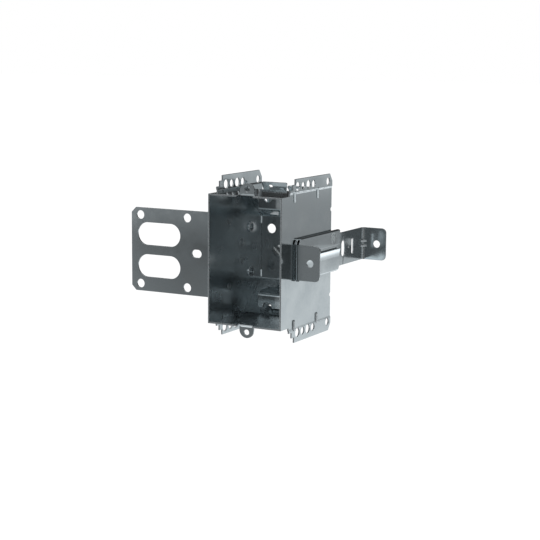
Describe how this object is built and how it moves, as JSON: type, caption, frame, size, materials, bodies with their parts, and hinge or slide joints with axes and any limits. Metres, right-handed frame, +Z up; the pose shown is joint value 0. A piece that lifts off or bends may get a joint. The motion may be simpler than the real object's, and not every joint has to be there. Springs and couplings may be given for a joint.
{
  "type": "switch box with stud bracket",
  "caption": "Galvanised steel switch box with a flat slotted stud bracket, stepped nailing tabs, inner cable clamps and a sliding support for the far side of the wall.",
  "frame": {"origin": "midway between the two device-ear holes, on the front faces of the ears", "axes": "+X across the box towards the far-side support, +Y into the wall, +Z up"},
  "size_m": [0.1298, 0.1059, 0.0952],
  "materials": {
    "galvanised_sheet": "bright zinc-coated sheet",
    "plated_screw": "zinc-plated screw"
  },
  "bodies": {
    "box": {"box_body": "galvanised_sheet", "left_side_plate": "galvanised_sheet", "right_side_plate": "galvanised_sheet", "stud_bracket": "galvanised_sheet", "support_sleeve": "galvanised_sheet", "ground_screw": "plated_screw"},
    "strap": {"support_strap": "galvanised_sheet"},
    "upper_clamp": {"upper_cable_clamp": "galvanised_sheet", "upper_clamp_screw": "plated_screw"},
    "lower_clamp": {"lower_cable_clamp": "galvanised_sheet", "lower_clamp_screw": "plated_screw"}
  },
  "joints": [
    {"name": "strap_slide", "type": "slide", "parent": "box", "child": "strap", "axis": [0, 1, 0], "range_m": [-0.0265, 0.0116]},
    {"name": "upper_clamp_slide", "type": "slide", "parent": "box", "child": "upper_clamp", "axis": [0, -1, 0], "range_m": [0, 0.004]},
    {"name": "lower_clamp_slide", "type": "slide", "parent": "box", "child": "lower_clamp", "axis": [0, -1, 0], "range_m": [0, 0.004]}
  ]
}
